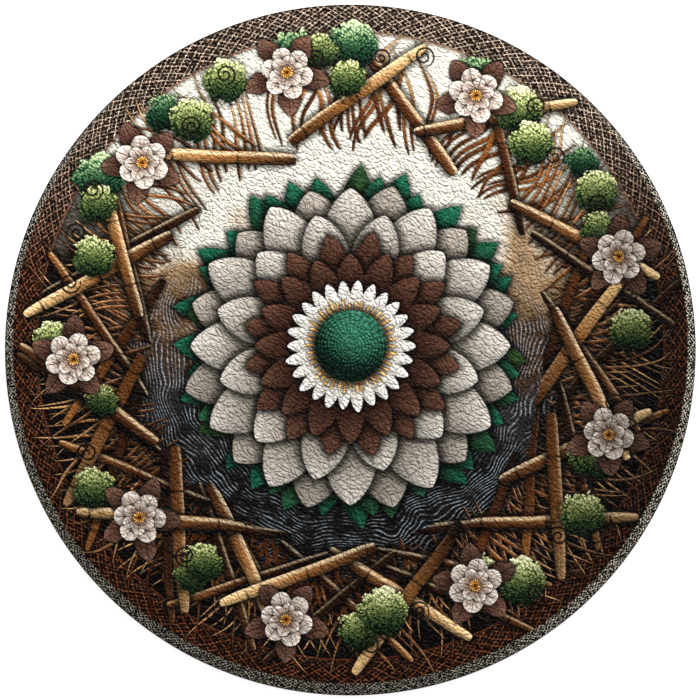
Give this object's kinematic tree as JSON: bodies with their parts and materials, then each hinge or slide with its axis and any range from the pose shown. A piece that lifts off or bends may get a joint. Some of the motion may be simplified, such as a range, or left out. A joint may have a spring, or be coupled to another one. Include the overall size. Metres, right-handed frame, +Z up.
{
  "type": "vinyl placemat",
  "caption": "Flat round vinyl placemat with a printed leather-grain face, a die-cut rounded edge and a plain underside.",
  "frame": {"origin": "centre of the underside, on the table's surface", "axes": "+Z up out of the printed face, +Y towards the edge that lies furthest from the diner"},
  "size_m": [0.38, 0.38, 0.002],
  "materials": {
    "printed_vinyl": "embossed leather grain, satin, printed in browns, straw, green, cream and slate"
  },
  "bodies": {
    "root": {"placemat": "printed_vinyl"}
  },
  "joints": []
}
